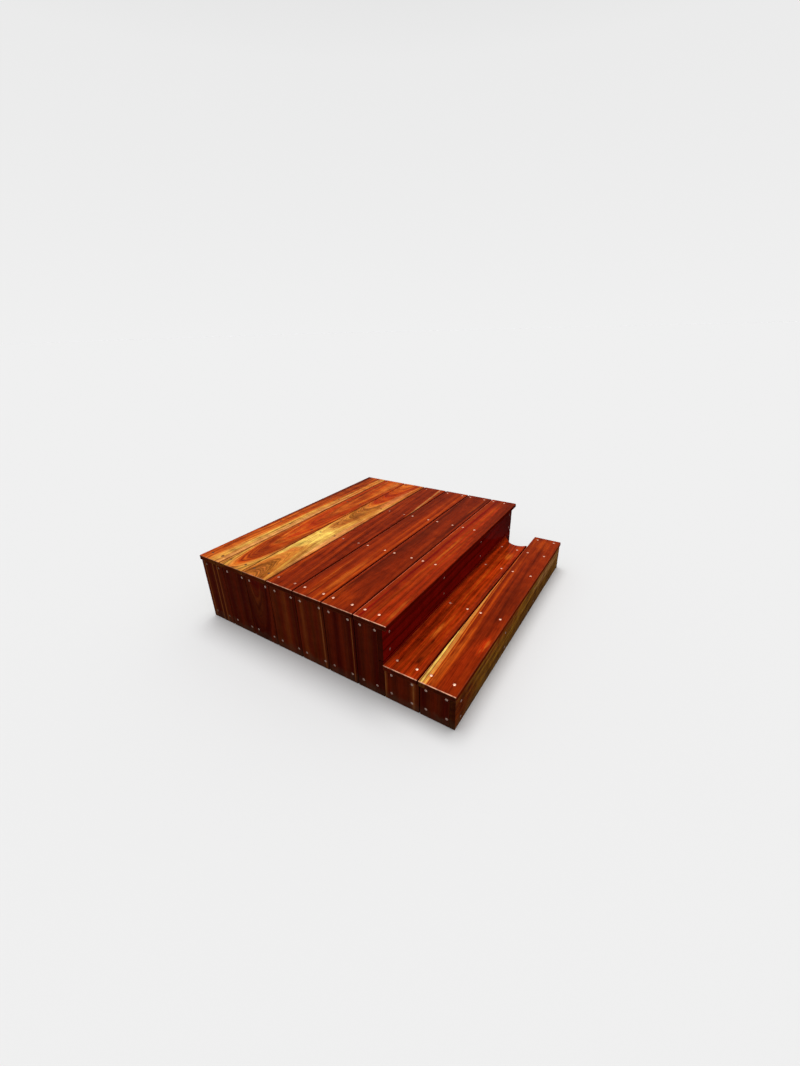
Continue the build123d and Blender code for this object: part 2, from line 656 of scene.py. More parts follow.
    def ground_splash(self) -> None:
        """Mask of the soil that rain throws up onto the lowest few centimetres."""
        graph, place, height = self.start("ground splash", "Vector", "Height")
        ragged = place.noise(4.0, 0.65, 38.0) * -self.splash_ragged
        ragged = ragged + place.parts()[2] + self.splash_ragged / 2
        specks = place.noise(1.0, scale=420.0).remap(0.52, 0.66)
        self.end(graph, Mask=ragged.fade(0.0, height) * (specks * 0.5 + 0.5))

    def end_grain(self) -> None:
        """Mask of a timber's two sawn ends, which drink more oil and go darker."""
        graph, place, half = self.start("end grain", "Vector", "Half Length")
        inside = half - abs(place.parts()[0] - half)
        self.end(graph, Mask=inside.fade(*self.end_soak))

    def gleam(self) -> None:
        """Mask of the painted highlight line where a board's face turns over its near end."""
        graph, place, line, strength = self.start("gleam", "Vector", "Line", "Strength")
        along, _, out = place.parts()
        top = out.remap(line * -0.75, line * -0.25)
        cloud = place.noise(3.0, scale=38.0).remap(0.35, 0.60, (0.3, 1.0))
        self.end(graph, Mask=along.fade(line * 0.4, line) * strength * top * cloud)

    def seam(self) -> None:
        """Masks of a board's long arrises at a gap: a painted highlight at its back, painted shade
        at its front.
        """
        graph, place, half = self.start("seam", "Vector", "Half Width")
        _, across, out = place.parts()
        cloud = place.noise(3.0, scale=30.0).remap(0.35, 0.60, (0.35, 1.0))
        top = out.remap(*self.seam_top)
        self.end(
            graph, Light=(half + across).fade(*self.seam_light) * top * cloud,
            Deep=(half - across).fade(*self.seam_deep),
        )

    def patch(self) -> None:
        """Mask of one soft-edged oval place on a board, such as a knot, a burst of colour or a
        patch of painted shade.
        """
        graph, place, centre, radii, ragged = self.start(
            "patch", "Vector", "Centre", "Radii", "Ragged"
        )
        cloud = (place * self.patch_grain).noise(3.0) - 0.5
        away = graph.maths("LENGTH", (place - centre) / radii)
        self.end(graph, Mask=(cloud * ragged + away).fade(0.25, 1.0))


# Finishes


@dataclass(frozen=True)
class Figure:
    """How one board was sawn out of its log, which settles its grain. Lengths in millimetres.

    rings gives distances from the pith, each with its tone. patches gives knots and bursts of
    colour, each as along, across, length, width, tone and strength; on some boards a patch is
    painted shade or a painted reflection instead, as noted at that board. pith_across and
    pith_below place the pith from the middle of the board's face, at its start. drift and fall say
    how far it moves per metre along the board, and bow bends it.
    """

    rings: str
    patches: str = ""
    pith_across: float = -90.0
    drift: float = 0.0
    pith_below: float = 30.0
    fall: float = 0.0
    bow: float = 0.0
    waviness: float = 2.5
    line_spacing: float = 5.0
    line_strength: float = 0.3
    streaks: float = 0.8
    patch_depth: float = 30.0
    patch_ragged: float = 1.2

    def ring_inputs(self) -> dict[str, float]:
        """Say where the board lay in its log.

        Returns:
            Inputs of the growth rings, in metres.
        """
        return {
            "Pith_Across": self.pith_across * MM, "Drift_Across": self.drift * MM,
            "Pith_Below": self.pith_below * MM, "Drift_Below": self.fall * MM,
            "Bow": self.bow * MM, "Waviness": self.waviness * MM,
        }

    def colour(self, graph: Graph, grain: Signal, radius: Signal) -> Signal:
        """Colour of the rings with the patches over it.

        Args:
            graph: The material's graph.
            grain: The board's own coordinates.
            radius: Distance from the pith.

        Returns:
            The colour.
        """
        words = self.rings.split()
        stops = [(float(mark), Tone[name].light) for mark, name in zip(words[::2], words[1::2])]
        inner, outer = stops[0][0], stops[-1][0]
        stops = [((distance - inner) / (outer - inner), tone) for distance, tone in stops]
        share = radius.remap(inner * MM, outer * MM, smooth=False)
        colour = graph.ramp(share, stops, "EASE")
        for row in filter(None, self.patches.split(";")):
            *marks, name, strength = row.split()
            along, across, length, width = (float(mark) * MM for mark in marks)
            mask = graph.group(
                "patch", Vector=grain, Centre=(along, across, 0.0),
                Radii=(length / 2, width / 2, self.patch_depth * MM), Ragged=self.patch_ragged,
            )["Mask"]
            colour = graph.mix(mask * float(strength), colour, Tone[name].light)
        return colour


@dataclass(frozen=True)
class OiledHardwood:
    """Dense red hardwood under glossy decking oil."""

    polish: float = 0.30
    oil: float = 0.06
    oil_roughness: float = 0.12
    pores: float = 0.30
    # Painted highlight: a pale line along the arris of a board's near end
    gleam_tone: Colour = (1.0, 0.50, 0.32, 1.0)
    gleam_line: float = 3.6 * MM
    # Painted shade on a board's narrow sides below its face
    flank_tone: Colour = (0.42, 0.17, 0.11, 1.0)
    flank_below: Span = (-3.6 * MM, -1.2 * MM)
    # Painted highlight on a board's back arris and painted shade on its front arris, at the gaps
    seam_tone: Colour = (1.0, 0.21, 0.11, 1.0)
    deep_tone: Colour = (0.42, 0.12, 0.06, 1.0)
    # Paler arrises: partly worn oil and partly a painted highlight of light on the rounded edges
    arris_tone: Colour = (0.50, 0.16, 0.07, 1.0)
    arris_share: float = 0.25
    arris_reach: float = 3.2 * MM
    arris_patchy: float = 0.45
    end_tone: Colour = (0.34, 0.24, 0.20, 1.0)
    end_dye: Colour = (0.060, 0.014, 0.006, 1.0)
    bump: Span = (0.35, 0.4 * MM)
    splash: float = 0.0
    splash_roughness: float = 0.5

    def material(self, board: "Board") -> bpy.types.Material:
        """Finish of one board.

        Args:
            board: The board, for its box, face, figure and edges.

        Returns:
            The material.
        """
        graph = MaterialGraph(f"oiled_{board.node}")
        place, figure, size = graph.place(), board.figure, board.high - board.low
        turn, flip, shift = board.grain_frame()
        grain = graph.add(
            "Mapping", Vector=place, Rotation=turn, Scale=flip, Location=shift
        )["Vector"]
        rings = graph.group("growth rings", Vector=grain, Seed=board.seed, **figure.ring_inputs())
        fibre = graph.group("fibre", Vector=grain, Seed=board.seed, **rings)
        timber = graph.group(
            "timber colour", Ring_Colour=figure.colour(graph, grain, rings["Radius"]), **rings,
            **fibre, Line_Spacing=figure.line_spacing * MM, Line_Strength=figure.line_strength,
            Streak_Strength=figure.streaks, Pore_Strength=self.pores, Polish=self.polish,
        )
        colour = timber["Color"]
        half_length, half_width = size[board.face.grain] / 2, size[board.face.across] / 2
        ends = graph.group("end grain", Vector=grain, Half_Length=half_length)["Mask"]
        colour = graph.mix(ends, colour, graph.mix(0.5, colour * self.end_tone, self.end_dye))

        under = grain.parts()[2].fade(*self.flank_below)
        # Painted shade: the narrow sides below the face are darkened as if they lay in shade
        flank = under * (1.0 - ends)
        if board.flank < 1:
            flank = flank * board.flank
        colour = graph.mix(flank, colour, colour * self.flank_tone)
        wear = graph.group(
            "arris wear", Vector=place - board.middle, Half_Size=size / 2, Reach=self.arris_reach,
            Patchy=self.arris_patchy,
        )["Mask"]
        # Paler arrises, partly wear and partly a painted highlight
        colour = graph.mix(wear * self.arris_share, colour, self.arris_tone)
        # Painted light at the gaps: a highlight on the back arris, shade on the front arris
        if board.seam_deep or board.seam_light:
            seam = graph.group("seam", Vector=grain, Half_Width=half_width)
            colour = graph.mix(seam["Deep"] * board.seam_deep, colour, colour * self.deep_tone)
            colour = graph.mix(seam["Light"] * board.seam_light, colour, self.seam_tone)
        # Painted highlight along the near end's arris, where the rounded edge catches the light
        gleam = graph.group(
            "gleam", Vector=grain, Line=self.gleam_line, Strength=board.gleam_end
        )["Mask"]
        colour = graph.mix(gleam, colour, self.gleam_tone)

        rough = timber["Roughness"]
        if self.splash:
            soil = graph.group("ground splash", Vector=place, Height=SPLASH_HEIGHT)["Mask"]
            film = soil * self.splash
            colour = graph.mix(film, colour, SOIL)
            rough = graph.maths("ADD", film * self.splash_roughness, rough, clamp=True)
        bare = graph.maths("MAXIMUM", graph.maths("MAXIMUM", under, wear), ends)
        return graph.close(
            (*self.bump, timber["Height"]), Base_Color=colour, Roughness=rough,
            Specular_IOR_Level=0.0, Coat_Weight=bare * -self.oil + self.oil,
            Coat_Roughness=self.oil_roughness,
        )


@dataclass(frozen=True)
class TreatedSoftwood:
    """Dressed framing timber with the faint green of its treatment."""

    early: Colour = (0.56, 0.45, 0.25, 1.0)
    green: Colour = (0.33, 0.36, 0.16, 1.0)
    worn: Colour = (0.60, 0.52, 0.34, 1.0)
    worn_share: float = 0.25
    soil_share: float = 0.6
    roughness: float = 0.62
    specular: float = 0.3
    waviness: float = 1.6 * MM
    line_spacing: float = 4.5 * MM
    line_strength: float = 0.55
    streaks: float = 0.4
    pores: float = 0.1
    arris_reach: float = 5 * MM
    arris_patchy: float = 0.6
    bump: Span = (0.4, 0.5 * MM)

    def material(self, node: str, axis: int) -> bpy.types.Material:
        """Finish of one framing timber.

        Args:
            node: The timber's name.
            axis: Index of the axis that its grain follows.

        Returns:
            The material.
        """
        low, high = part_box(node)
        chance = random.Random(node)
        graph = MaterialGraph(f"framing_{node}")
        place, centre = graph.place(), (low + high) / 2
        turn, shift = (
            ((0.0, 0.0, 0.0), (-centre.x, -centre.y, -centre.z)),
            ((0.0, 0.0, -math.pi / 2), (-centre.y, centre.x, -centre.z)),
            ((0.0, math.pi / 2, 0.0), (-centre.z, -centre.y, centre.x)),
        )[axis]
        grain = graph.add("Mapping", Vector=place, Rotation=turn, Location=shift)["Vector"]
        seed = chance.uniform(0, 50)
        rings = graph.group(
            "growth rings", Vector=grain, Seed=seed, Pith_Across=chance.uniform(-0.05, 0.05),
            Drift_Across=chance.uniform(-0.02, 0.02), Pith_Below=chance.uniform(0.03, 0.09),
            Drift_Below=chance.uniform(-0.03, 0.03), Waviness=self.waviness,
        )
        fibre = graph.group("fibre", Vector=grain, Seed=seed, **rings)
        timber = graph.group(
            "timber colour", Ring_Colour=self.early, **rings, **fibre,
            Line_Spacing=self.line_spacing, Line_Strength=self.line_strength,
            Streak_Strength=self.streaks, Pore_Strength=self.pores, Polish=self.roughness,
        )
        tint = place.noise(3.0, scale=5.0).remap(0.35, 0.7, (0.0, 0.35))
        wear = graph.group(
            "arris wear", Vector=place - centre, Half_Size=(high - low) / 2,
            Reach=self.arris_reach, Patchy=self.arris_patchy,
        )["Mask"]
        soil = graph.group("ground splash", Vector=place, Height=SPLASH_HEIGHT)["Mask"]
        colour = graph.mix(tint, timber["Color"], self.green)
        colour = graph.mix(wear * self.worn_share, colour, self.worn)
        colour = graph.mix(soil * self.soil_share, colour, SOIL)
        return graph.close(
            (*self.bump, timber["Height"]), Base_Color=colour, Roughness=timber["Roughness"],
            Specular_IOR_Level=self.specular,
        )


@dataclass(frozen=True)
class Stainless:
    """Stainless steel of the deck screws, bright on top and dulled by oil elsewhere."""

    name: str = "bright_steel"
    colour: Colour = (1.0, 0.62, 0.45, 1.0)
    dulled: Colour = (0.94, 0.50, 0.35, 1.0)
    roughness: float = 0.38
    metallic: float = 0.5
    spread: Span = (-0.08, 0.12)
    cloud_grain: float = 900.0
    bump: Span = (0.15, 0.1 * MM)

    def material(self) -> bpy.types.Material:
        """Finish of the screw heads, made once.

        Returns:
            The material.
        """
        if self.name in bpy.data.materials:
            return bpy.data.materials[self.name]
        graph = MaterialGraph(self.name)
        cloud = graph.place().noise(3.0, scale=self.cloud_grain)
        smoothest, roughest = (self.roughness + part for part in self.spread)
        return graph.close(
            (*self.bump, cloud), Metallic=self.metallic,
            Base_Color=graph.mix(cloud.remap(0.3, 0.7), self.colour, self.dulled),
            Roughness=cloud.remap(0.3, 0.7, (smoothest, roughest)),
        )


# Darker copies of the steel are painted light: dim reflections in the heads nearest the door wall,
# darkest on the first three deck boards and dimmer on the fourth, and the dim heads of the first
# side board
DULL_STEEL = Stainless("dull_steel", (0.72, 0.36, 0.25, 1.0), (0.48, 0.22, 0.15, 1.0), 0.5, 0.6)
OILY_STEEL = Stainless("oily_steel", (0.20, 0.10, 0.05, 1.0), (0.11, 0.05, 0.025, 1.0), 0.5, 0.6)
SHADED_STEEL = Stainless(
    "shaded_steel", (0.52, 0.36, 0.30, 1.0), (0.30, 0.19, 0.15, 1.0), 0.5, 0.6
)


# Fasteners


@dataclass
class ScrewHead:
    """Countersunk deck screw: what shows of it is its domed head, in a hole that it pulled into."""

    head_radius: float = 5.1 * MM
    head_sink: float = 0.15 * MM
    dome: float = 0.95 * MM
    dome_rings: int = 4
    skirt: float = 0.6 * MM
    drive_width: float = 2.3 * MM
    drive_depth: float = 0.9 * MM
    drive_corner: float = 0.3 * MM
    hole_radius: float = 6.1 * MM
    hole_bottom_radius: float = 5.2 * MM
    hole_depth: float = 1.9 * MM
    clear: float = 0.5 * MM
    sides: int = 20
    pattern: Piece | None = None

    def model(self) -> None:
        """Model the head once, lying on the XY plane with its crown just under the surface."""
        deselect()
        crown = -self.head_sink
        height, reach = crown - self.dome, self.head_radius
        bpy.ops.mesh.primitive_cylinder_add(
            vertices=self.sides, radius=self.head_radius, depth=self.skirt,
            location=(0.0, 0.0, height - self.skirt / 2),
        )
        head = newly_made()
        ball = (self.head_radius**2 + self.dome**2) / (2 * self.dome)
        lean = math.asin(self.head_radius / ball)
        for step in range(1, self.dome_rings + 1):
            slope = lean * (self.dome_rings - step) / self.dome_rings
            next_reach, next_height = ball * math.sin(slope), crown - ball * (1 - math.cos(slope))
            with editing(head, "FACE") as mesh:
                pick(
                    head, mesh.faces,
                    lambda part: part.normal.z > PARALLEL
                    and abs(part.calc_center_median().z - height) < NEAR,
                )
                if slope > 0:
                    width = (reach - next_reach) * math.cos(math.pi / self.sides)
                    bpy.ops.mesh.inset(thickness=width)
                else:
                    bpy.ops.mesh.poke()
                    bpy.ops.mesh.select_mode(type="VERT")
                    pick(
                        head, mesh.verts,
                        lambda spot: spot.co.xy.length < NEAR and spot.co.z > height - NEAR,
                    )
                bpy.ops.transform.translate(value=(0.0, 0.0, next_height - height))
            height, reach = next_height, next_reach
        deselect()
        bpy.ops.mesh.primitive_cube_add(
            size=1.0, location=(0.0, 0.0, crown),
            scale=(self.drive_width, self.drive_width, 2 * self.drive_depth),
        )
        drive = newly_made()
        round_over(
            drive, lambda edge: abs(edge.verts[0].co.z - edge.verts[1].co.z) > NEAR,
            self.drive_corner, 1,
        )
        cut_away(head, drive)
        face_smoothly(head)
        head.name = "screw_pattern"
        self.pattern = head
        log.info("screw head: %d faces", len(head.data.polygons))

    def hole(self, stand: Matrix) -> Piece:
        """Cutter for one countersunk hole.

        Args:
            stand: Where it stands.

        Returns:
            The cutter.
        """
        depth = self.hole_depth + self.clear
        slope = (self.hole_radius - self.hole_bottom_radius) / self.hole_depth
        deselect()
        bpy.ops.mesh.primitive_cone_add(
            vertices=self.sides, radius1=self.hole_bottom_radius,
            radius2=self.hole_radius + slope * self.clear, depth=depth,
            location=(0.0, 0.0, self.clear - depth / 2),
        )
        cutter = newly_made()
        cutter.matrix_world = stand
        return cutter

    def set_in(self, stand: Matrix) -> Piece:
        """Copy the head into its hole.

        Args:
            stand: Where it stands.

        Returns:
            The copy, with its own mesh.
        """
        copy = self.pattern.copy()
        copy.data = self.pattern.data.copy()
        bpy.context.collection.objects.link(copy)
        copy.matrix_world = stand
        return copy

    def put_away(self) -> None:
        """Remove the pattern head once every board has its screws."""
        bpy.data.objects.remove(self.pattern, do_unlink=True)


# Boards


@dataclass
class Board:
    """One hardwood board, modelled over its packed timber."""

    node: str
    face: Face
    slot: str
    figure: Figure
    screws: Pairs = ()
    sawn: Sawn = Sawn.NONE
    steel: Stainless = Stainless()
    driven: float = 0.0
    # Strengths of painted light: the near-end highlight, the back-arris highlight, the front-arris
    # shade and the shade on the narrow sides
    gleam_end: float = 0.0
    seam_light: float = 0.0
    seam_deep: float = 0.0
    flank: float = 1.0
    arris: float = 3.0 * MM
    easing: float = 1.2 * MM
    saw_edge: float = 0.5 * MM
    rim_easing: float = 0.8 * MM
    low: Vector = field(init=False)
    high: Vector = field(init=False)
    middle: Vector = field(init=False)
    seed: float = field(init=False)
    piece: Piece | None = None

    def __post_init__(self) -> None:
        """Look up the timber's box and draw the board's seed."""
        self.low, self.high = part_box(self.node)
        self.middle = (self.low + self.high) / 2
        self.seed = random.Random(self.node).uniform(1.0, 40.0)

    def grain_frame(self) -> tuple[tuple, tuple, tuple]:
        """Turn, flip and shift that take object coordinates to along, across and out.

        Along starts at the board's near or lower end, across is counted from its middle towards the
        front or upwards, and out is nought on the face and negative in the timber.

        Returns:
            Rotation, scale and location for a Mapping node.
        """
        low, middle, high = self.low, self.middle, self.high
        if self.face is Face.TOP:
            return (0, 0, 0), (1, -1, 1), (-low.x, middle.y, -high.z)
        if self.face is Face.FRONT:
            return (-math.pi / 2, 0, 0), (1, 1, 1), (-low.x, -middle.z, low.y)
        return (0, math.pi / 2, 0), (1, -1, 1), (-low.z, middle.y, low.x)

    def stand(self, screw: Span, sunk: float = 0.0, spin: float = 0.0) -> Matrix:
        """Placement that lays a thing modelled on the XY plane onto the board's face.

        Args:
            screw: Its place in millimetres along and across.
            sunk: How far it goes into the face, in metres.
            spin: Turn about the face's normal, in radians.

        Returns:
            The world matrix.
        """
        low, middle, high = self.low, self.middle, self.high
        along, across = screw[0] * MM, screw[1] * MM
        at = {
            Face.TOP: (low.x + along, middle.y - across, high.z),
            Face.FRONT: (low.x + along, low.y, middle.z + across),
            Face.LEFT: (low.x, middle.y - across, low.z + along),
        }[self.face]
        turn = self.face.normal.to_track_quat("Z", "Y").to_matrix().to_4x4()
        put = Matrix.Translation(Vector(at) - self.face.normal * sunk)
        return put @ turn @ Matrix.Rotation(spin, 4, "Z")

    def model(self) -> None:
        """Shape the stock: milled long arrises, then eased sawn ends."""
        grain = self.face.grain
        axis, way = self.sawn.value
        limit = (self.high if way > 0 else self.low)[axis]
        deselect()
        bpy.ops.mesh.primitive_cube_add(
            size=1.0, location=self.middle, scale=self.high - self.low
        )
        self.piece = newly_made()

        def is_long(edge: Edge) -> bool:
            """Whether it runs along the grain."""
            run = edge.verts[1].co - edge.verts[0].co
            return abs(run.normalized()[grain]) > PARALLEL

        def is_ripped(edge: Edge) -> bool:
            """Whether it lies on the side that was ripped."""
            return bool(way) and all(abs(v.co[axis] - limit) < NEAR for v in edge.verts)

        def bounds_end(edge: Edge) -> bool:
            """Whether it parts a sawn end from the rest."""
            ends = [abs(part.normal[grain]) > PARALLEL for part in edge.link_faces]
            return any(ends) and not all(ends)

        round_over(self.piece, lambda edge: is_long(edge) and not is_ripped(edge), self.arris, 4)
        if way:
            round_over(self.piece, lambda edge: is_long(edge) and is_ripped(edge), self.saw_edge, 1)
        round_over(self.piece, bounds_end, self.easing, 2)

    def ease_rim(self) -> None:
        """Take the sharp edge off a cut that stands square to the face."""

        def is_rim(edge: Edge) -> bool:
            """Whether it parts the face or the back from a wall square to them."""
            ups = sorted(abs(part.normal.dot(self.face.normal)) for part in edge.link_faces)
            return len(ups) == 2 and ups[0] < 1 - PARALLEL and ups[1] > PARALLEL

        picked = round_over(self.piece, is_rim, self.rim_easing, 2)
        log.info("%s: %d edges of its cut eased", self.node, picked)

    def build(self, finish: OiledHardwood, screw: ScrewHead, cutter: Piece | None = None) -> None:
        """Model the board, drive its screws and dress both.

        Args:
            finish: The oiled finish.
            screw: The screw head to copy.
            cutter: A shape to cut from the board, if it has one.
        """
        self.model()
        if cutter:
            cut_away(self.piece, cutter)
            self.ease_rim()
        if self.screws:
            holes = [screw.hole(self.stand(at)) for at in self.screws]
            cut_away(self.piece, join_all(holes, "holes"))
        face_smoothly(self.piece)
        self.piece.name = f"{self.node}_oiled"
        self.piece.data.name = self.piece.name
        self.piece.data.materials.append(finish.material(self))
        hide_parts(self.node)
        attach(self.piece, "root")
        if self.screws:
            chance = random.Random(f"{self.node} screws")
            heads = [
                screw.set_in(self.stand(at, self.driven, chance.uniform(0, math.pi / 2)))
                for at in self.screws
            ]
            row = join_all(heads, f"{self.node}_screws")
            row.data.materials.clear()
            row.data.materials.append(self.steel.material())
            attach(row, "root")
        faces = len(self.piece.data.polygons)
        log.info("%s: %d screws, %d faces", self.piece.name, len(self.screws), faces)


def pairs(node: str, alongs: tuple[float, ...], *acrosses: float, stray: float = 1.6) -> Pairs:
    """Screw places in rows, each a little off its mark as a hand drives them.

    Args:
        node: The board's name, which seeds the strays.
        alongs: Rows along the board, in millimetres.
        *acrosses: Places across it.
        stray: Largest stray.

    Returns:
        The places.
    """
    chance = random.Random(f"{node} marks")
    return tuple(
        (along + chance.uniform(-stray, stray), across + chance.uniform(-stray, stray))
        for along in alongs
        for across in acrosses
    )


# Figures of the boards

# The umber and sepia patches along the back edge, at -60 across, are painted shade of the dark door
# frame behind the board
HEART_AND_GOLD = Figure(
    "40 RED 52 RUST 62 ORANGE 70 RUST 80 ORANGE 90 RUST 97 ORANGE 104 AMBER 110 HONEY 115 GOLD "
    "120 HONEY 124 TAN 128 GOLD 135 GOLD 139 AMBER 143 OLIVE 147 HONEY 151 TAN 156 AMBER "
    "168 ORANGE",
    "130 41 150 8 BARK .7; 205 48 90 14 STRAW .7; 885 36 130 16 STRAW .6; 150 -34 320 40 RED .5; "
    "0 24 1100 104 HONEY .5; 240 26 520 24 STRAW .6; 480 54 2000 42 PEACH .95; "
    "120 33 90 8 OLIVE .7; 560 -6 420 26 SCARLET .45; 1010 44 700 44 ORANGE .8; "
    "700 40 360 26 AMBER .6; 980 12 620 60 RUST .55; 800 -26 1000 42 RED .65; "
    "1040 -4 560 40 RED .7; 820 -60 1500 60 UMBER .85; 1080 -60 900 66 SEPIA .9; "
    "47 29 26 14 UMBER .9; 440 35 20 12 UMBER .7",
    pith_across=-96, drift=16, waviness=4.4, line_spacing=4.4, line_strength=0.7, streaks=1.5,
)
LONG_OVAL = Figure(
    "66 ORANGE 73 RUST 80 ORANGE 85 RUST 89 SCARLET 93 RUST 97 SCARLET 100 RUST 103 ORANGE "
    "105 RUST 107 BRICK 108.4 EMBER 109.6 RED 111 EMBER 112.2 RED 113.6 EMBER 114.8 RED "
    "116.2 EMBER 117.4 RED 118.8 RUST 120.4 ORANGE 122 AMBER 124 TAN 126 HONEY 128 GOLD 130 OLIVE "
    "132 TAN 136 HONEY 142 GOLD",
    "150 4 130 80 CLARET .35; 340 -60 300 14 BARK .6; 290 60 340 12 BARK .6; "
    "880 58 400 16 BARK .5; 960 -42 560 44 RED .7; 1110 34 330 70 AMBER .6; "
    "640 10 520 70 BRICK .4; 330 -10 300 30 ORANGE .5; 1020 20 420 60 ORANGE .5",
    pith_across=4, drift=-3, pith_below=122.5, fall=-85, bow=35, waviness=1.9, line_spacing=3.2,
    line_strength=0.7, streaks=1.3,
)
SAPWOOD = Figure(
    "50 ORANGE 72 EMBER 78 RUST 86 SCARLET 93 RUST 98.5 SCARLET 103 ORANGE 105.6 AMBER 107.4 NUT "
    "108.1 COCOA 108.9 AMBER 109.7 COCOA 110.4 NUT 111.1 COCOA 111.8 AMBER 112.5 COCOA 113.2 NUT "
    "113.9 COCOA 114.7 BRONZE 115.4 COCOA 116.2 NUT 117.2 BRONZE 118.4 AMBER 120 NUT 122 AMBER "
    "125.5 GOLD 129 HONEY 133 GOLD 139 PEACH 144 AMBER 150 PEACH 157 HONEY",
    "385 -14 330 150 STRAW .9; 268 -54 270 40 STRAW .9; 292 -38 120 28 MOSS .6; "
    "570 -44 200 60 HONEY .6; 90 34 430 48 BRONZE .55; 235 6 270 46 NUT .75; 40 54 150 34 NUT .6; "
    "360 54 560 26 PEACH .7; 705 22 330 116 NUT .8; 690 -10 210 44 BARK .5; "
    "940 34 430 52 CORAL .85; 1040 56 640 30 RUST .55; 960 65 900 12 CLARET .7",
    pith_across=-8, drift=-30, pith_below=106, fall=86, bow=-110, waviness=1.8, line_spacing=1.4,
    line_strength=0.9, streaks=1.2,
)
# The full-width claret patch at the far end is painted shade of the side wall there
DEEP_RED = Figure(
    "36 RED 48 CLARET 62 BRICK 76 CLARET 90 RED 104 CLARET 120 RED 131 CLARET 137 RUST 141 SAND "
    "146 BARK 151 RUST 156 RED 170 BRICK",
    "640 10 380 60 CLARET .6; 190 -48 600 36 RUST .6; 840 10 700 60 CLARET .4; "
    "1120 0 380 180 CLARET .3; 330 40 160 40 CLARET .5",
    pith_across=-20, drift=-67, waviness=3.2, line_spacing=5.0, line_strength=0.4, streaks=1.25,
)
RED_AND_AMBER = Figure(
    "20 RED 40 CLARET 56 RED 68 BRICK 76 RED 88 CLARET 100 RED 112 BRICK 118 RUST 124 BRICK "
    "138 RED 148 RUST 162 RED",
    "180 34 380 40 ORANGE .65; 110 -14 300 30 RUST .6; 200 -24 260 7 ORANGE .7; "
    "50 -6 130 7 ORANGE .6; 880 -40 900 60 DARK .6; 1080 -10 260 90 CLARET .7",
    pith_across=-90, drift=-6, pith_below=25, waviness=3.6, line_strength=0.4, streaks=0.85,
)
# The wide dark patch at the far end, 1100 along, is painted shade of the side wall there
SMOKY = Figure(
    "44 BRICK 56 RED 66 CLARET 76 RED 84 CLARET 94 DARK 102 RED 112 CLARET 124 BRICK",
    "60 -8 190 90 BRICK .7; 330 -26 420 46 DARK .6; 500 28 560 30 BRICK .7; "
    "1080 40 340 22 RUST .6; 700 -24 560 46 DARK .5; 60 -52 280 36 RUST .5; "
    "1100 -10 420 170 DARK .4; 420 56 760 24 BRICK .5",
    pith_across=16, drift=-20, pith_below=58, fall=60, bow=-42, waviness=3.8, line_spacing=4.0,
    line_strength=0.5, streaks=0.8,
)
# The dark patch at the far end, 1180 along, is painted shade of the side wall there
FLAME = Figure(
    "14 RED 30 BRICK 40 RED 46 WINE 54 RED 64 SCARLET 72 RUST 80 BRICK 90 SCARLET 102 RED "
    "116 SCARLET 130 RED 146 SCARLET",
    "170 -38 300 18 DARK .7; 560 -4 420 16 ORANGE .7; 560 22 500 30 RUST .5; "
    "90 50 240 18 ORANGE .5; 300 10 300 26 RUST .4; 1180 0 260 160 DARK .5; "
    "120 -16 560 36 CLARET .6; 1060 46 1100 84 DARK .7",
    pith_across=-80, drift=8, pith_below=28, waviness=3.8, line_strength=0.4, streaks=0.9,
)
SCARLET = Figure(
    "10 SCARLET 22 VERMILION 30 SCARLET 38 VERMILION 46 SCARLET 56 RED 66 SCARLET 76 BRICK "
    "84 SCARLET 94 RED 104 SCARLET 112 BRICK 124 SCARLET 140 RED",
    "82 26 60 22 PITCH .85; 192 17 40 14 PITCH .7; 140 20 220 60 DARK .6; "
    "262 4 150 24 ORANGE .75; 330 14 180 16 RUST .7; 660 -2 620 14 RUST .8; "
    "930 28 90 50 ORANGE .7; 985 -22 26 10 DARK .6; 760 16 420 24 VERMILION .5; "
    "400 57 1100 26 CLARET .65",
    pith_across=-74, drift=4, pith_below=26, waviness=3.2, line_spacing=4.0, line_strength=0.6,
    streaks=1.35,
)
GOLD_EDGE = Figure(
    "24 RED 36 CLARET 50 RED 62 CLARET 74 RED 84 CLARET 94 RED 103 RUST 111 RED 118 CLARET "
    "121.5 RUST 123.5 ORANGE 125.5 CLARET 128 RUST 130.5 AMBER 133.5 GOLD 136 AMBER 139.5 HONEY "
    "142 BARK 144.5 STRAW 149 STRAW 151.5 BARK 154 GOLD 160 HONEY",
    "960 -50 760 40 CLARET .6; 266 46 150 40 VERMILION .8; 272 53 90 14 ORANGE .8; "
    "232 44 46 8 ORANGE .6; 160 -16 520 40 RUST .6; 140 20 440 70 SCARLET .45; "
    "150 -22 560 28 ORANGE .4; 400 6 300 60 CLARET .5; 590 30 480 110 DARK .6; "
    "1130 0 200 90 RUST .65; 980 -18 240 30 BRICK .5",
    pith_across=85, drift=-40, pith_below=40, fall=10, waviness=1.8, line_spacing=4.0,
    line_strength=0.5, streaks=0.85,
)
# The garnet and maroon patches at the far end are painted shadow of the downpipe there
WINE = Figure(
    "40 WINE 60 WINE 68 GARNET 76 WINE 98 WINE 107 GARNET 116 WINE 150 WINE",
    "1150 0 420 200 GARNET .85; 1180 10 200 160 MAROON .5; 210 34 240 34 GARNET .6; "
    "470 -18 200 44 GARNET .6; 720 30 260 30 MAROON .45; 330 -50 260 26 MAROON .4",
    pith_across=-80, drift=20, pith_below=40, waviness=3.6, streaks=0.7,
)
